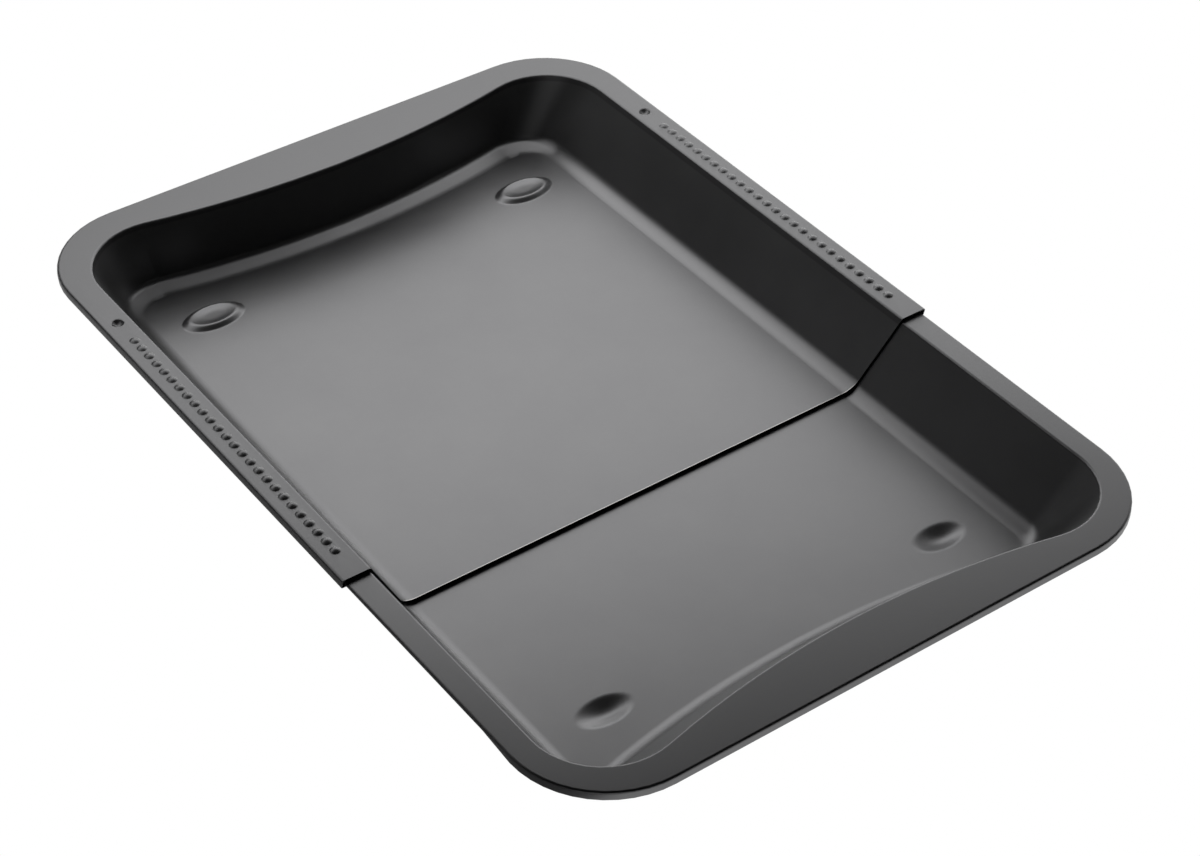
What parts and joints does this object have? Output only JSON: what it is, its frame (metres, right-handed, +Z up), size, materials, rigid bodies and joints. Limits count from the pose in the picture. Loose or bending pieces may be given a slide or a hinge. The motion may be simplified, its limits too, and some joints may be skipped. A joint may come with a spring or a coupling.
{
  "type": "extendable baking tray",
  "caption": "Dark coated sheet-steel baking tray in halves that slide in each other, with a bulged rim at each end and rows of latch bumps.",
  "frame": {"origin": "centre of the bounding box's bottom face, on the surface that the tray stands on, at the pictured setting", "axes": "+Y along the tray towards the upper half's closed end, +X across the tray to the right seen from the lower half's end, +Z up"},
  "size_m": [0.33, 0.473, 0.0459],
  "materials": {
    "nonstick_coating": "satin dark grey non-stick coating on sheet steel"
  },
  "bodies": {
    "upper": {"upper_half": "nonstick_coating"},
    "lower": {"lower_half": "nonstick_coating"}
  },
  "joints": [
    {"name": "extend", "type": "slide", "parent": "upper", "child": "lower", "axis": [0, -1, 0], "range_m": [-0.1015, 0.05075]}
  ]
}
